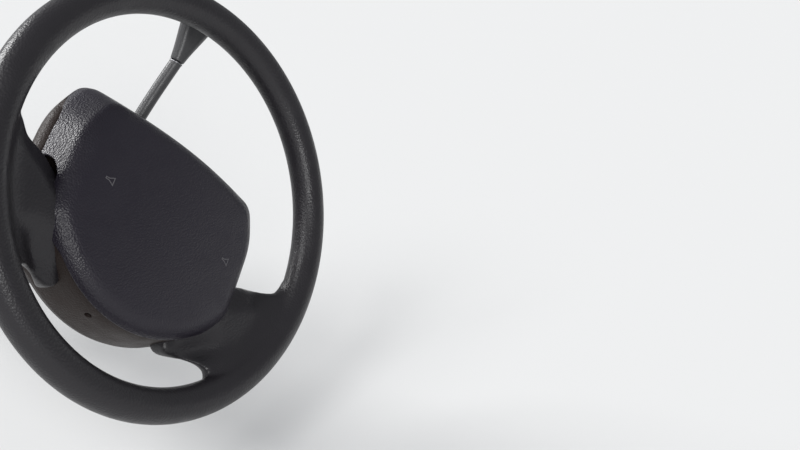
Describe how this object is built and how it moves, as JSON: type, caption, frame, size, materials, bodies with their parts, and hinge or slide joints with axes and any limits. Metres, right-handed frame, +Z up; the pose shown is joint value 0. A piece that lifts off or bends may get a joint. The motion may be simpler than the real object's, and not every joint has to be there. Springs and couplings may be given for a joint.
{
  "type": "steering wheel on tilt column",
  "caption": "Padded steering wheel with a broad hub and two wide spokes, on a tilting steering column with a gear selector lever, stalk and mounting bracket.",
  "frame": {"origin": "centre of the four bolt holes in the column's mounting bracket, on the plate's upper face", "axes": "+X to the car's right, +Y forward, +Z up; the column's axis slopes 24 degrees, and the driver sits at -Y"},
  "size_m": [0.3909, 0.6127, 0.4186],
  "materials": {
    "wheel_foam": "fine leather grain",
    "cover_plastic": "fine leather grain",
    "back_plastic": "smooth, satin",
    "armature_metal": "as cast",
    "airbag_block": "folded cloth, plain",
    "shaft_steel": "machined",
    "black_plastic": "moulded",
    "housing_metal": "as cast",
    "column_plastic": "fine grain",
    "stalk_plastic": "satin",
    "lock_metal": "dull",
    "key_metal": "worn",
    "hazard_plastic": "satin red",
    "black_steel": "black paint, satin",
    "grip_plastic": "satin"
  },
  "bodies": {
    "column": {"pivot_yoke": "housing_metal", "left_pivot_pin": "shaft_steel", "right_pivot_pin": "shaft_steel", "column_tube": "black_steel", "lower_bearing": "black_plastic", "mounting_bracket": "black_steel"},
    "tilt_head": {"tilt_housing": "housing_metal", "clock_spring": "black_plastic", "upper_column_cover": "column_plastic", "lower_column_cover": "column_plastic", "cover_screw": "shaft_steel", "turn_signal_switch": "black_plastic", "turn_signal_stalk": "stalk_plastic", "tilt_lever": "stalk_plastic", "ignition_lock": "lock_metal", "ignition_key": "key_metal", "hazard_button": "hazard_plastic"},
    "steering_wheel": {"wheel_rim": "wheel_foam", "airbag_cover": "cover_plastic", "back_cover": "back_plastic", "wheel_armature": "armature_metal", "airbag_module": "airbag_block", "upper_shaft": "shaft_steel", "shaft_nut": "shaft_steel"},
    "gear_selector": {"selector_collar": "black_steel", "selector_rod": "black_steel", "selector_grip": "grip_plastic"},
    "lower_shaft": {"lower_shaft": "shaft_steel"}
  },
  "joints": [
    {"name": "tilt", "type": "hinge", "parent": "column", "child": "tilt_head", "pos_m": [0, -0.14905, 0.00944], "axis": [1, 0, 0], "range_deg": [-10, 10]},
    {"name": "steering", "type": "hinge", "parent": "tilt_head", "child": "steering_wheel", "pos_m": [0, -0.32262, 0.08672], "axis": [0, -0.9135, 0.4067], "range_deg": [-492, 588]},
    {"name": "gear_select", "type": "hinge", "parent": "tilt_head", "child": "gear_selector", "pos_m": [0, -0.20569, 0.03466], "axis": [0, -0.9135, 0.4067], "range_deg": [-44, 0]},
    {"name": "lower_shaft_turn", "type": "hinge", "parent": "column", "child": "lower_shaft", "pos_m": [0, 0.0428, -0.07598], "axis": [0, -0.9135, 0.4067], "range_deg": [-492, 588]}
  ],
  "couplings": [
    {"joint": "lower_shaft_turn", "follows": "steering", "ratio": 1}
  ]
}
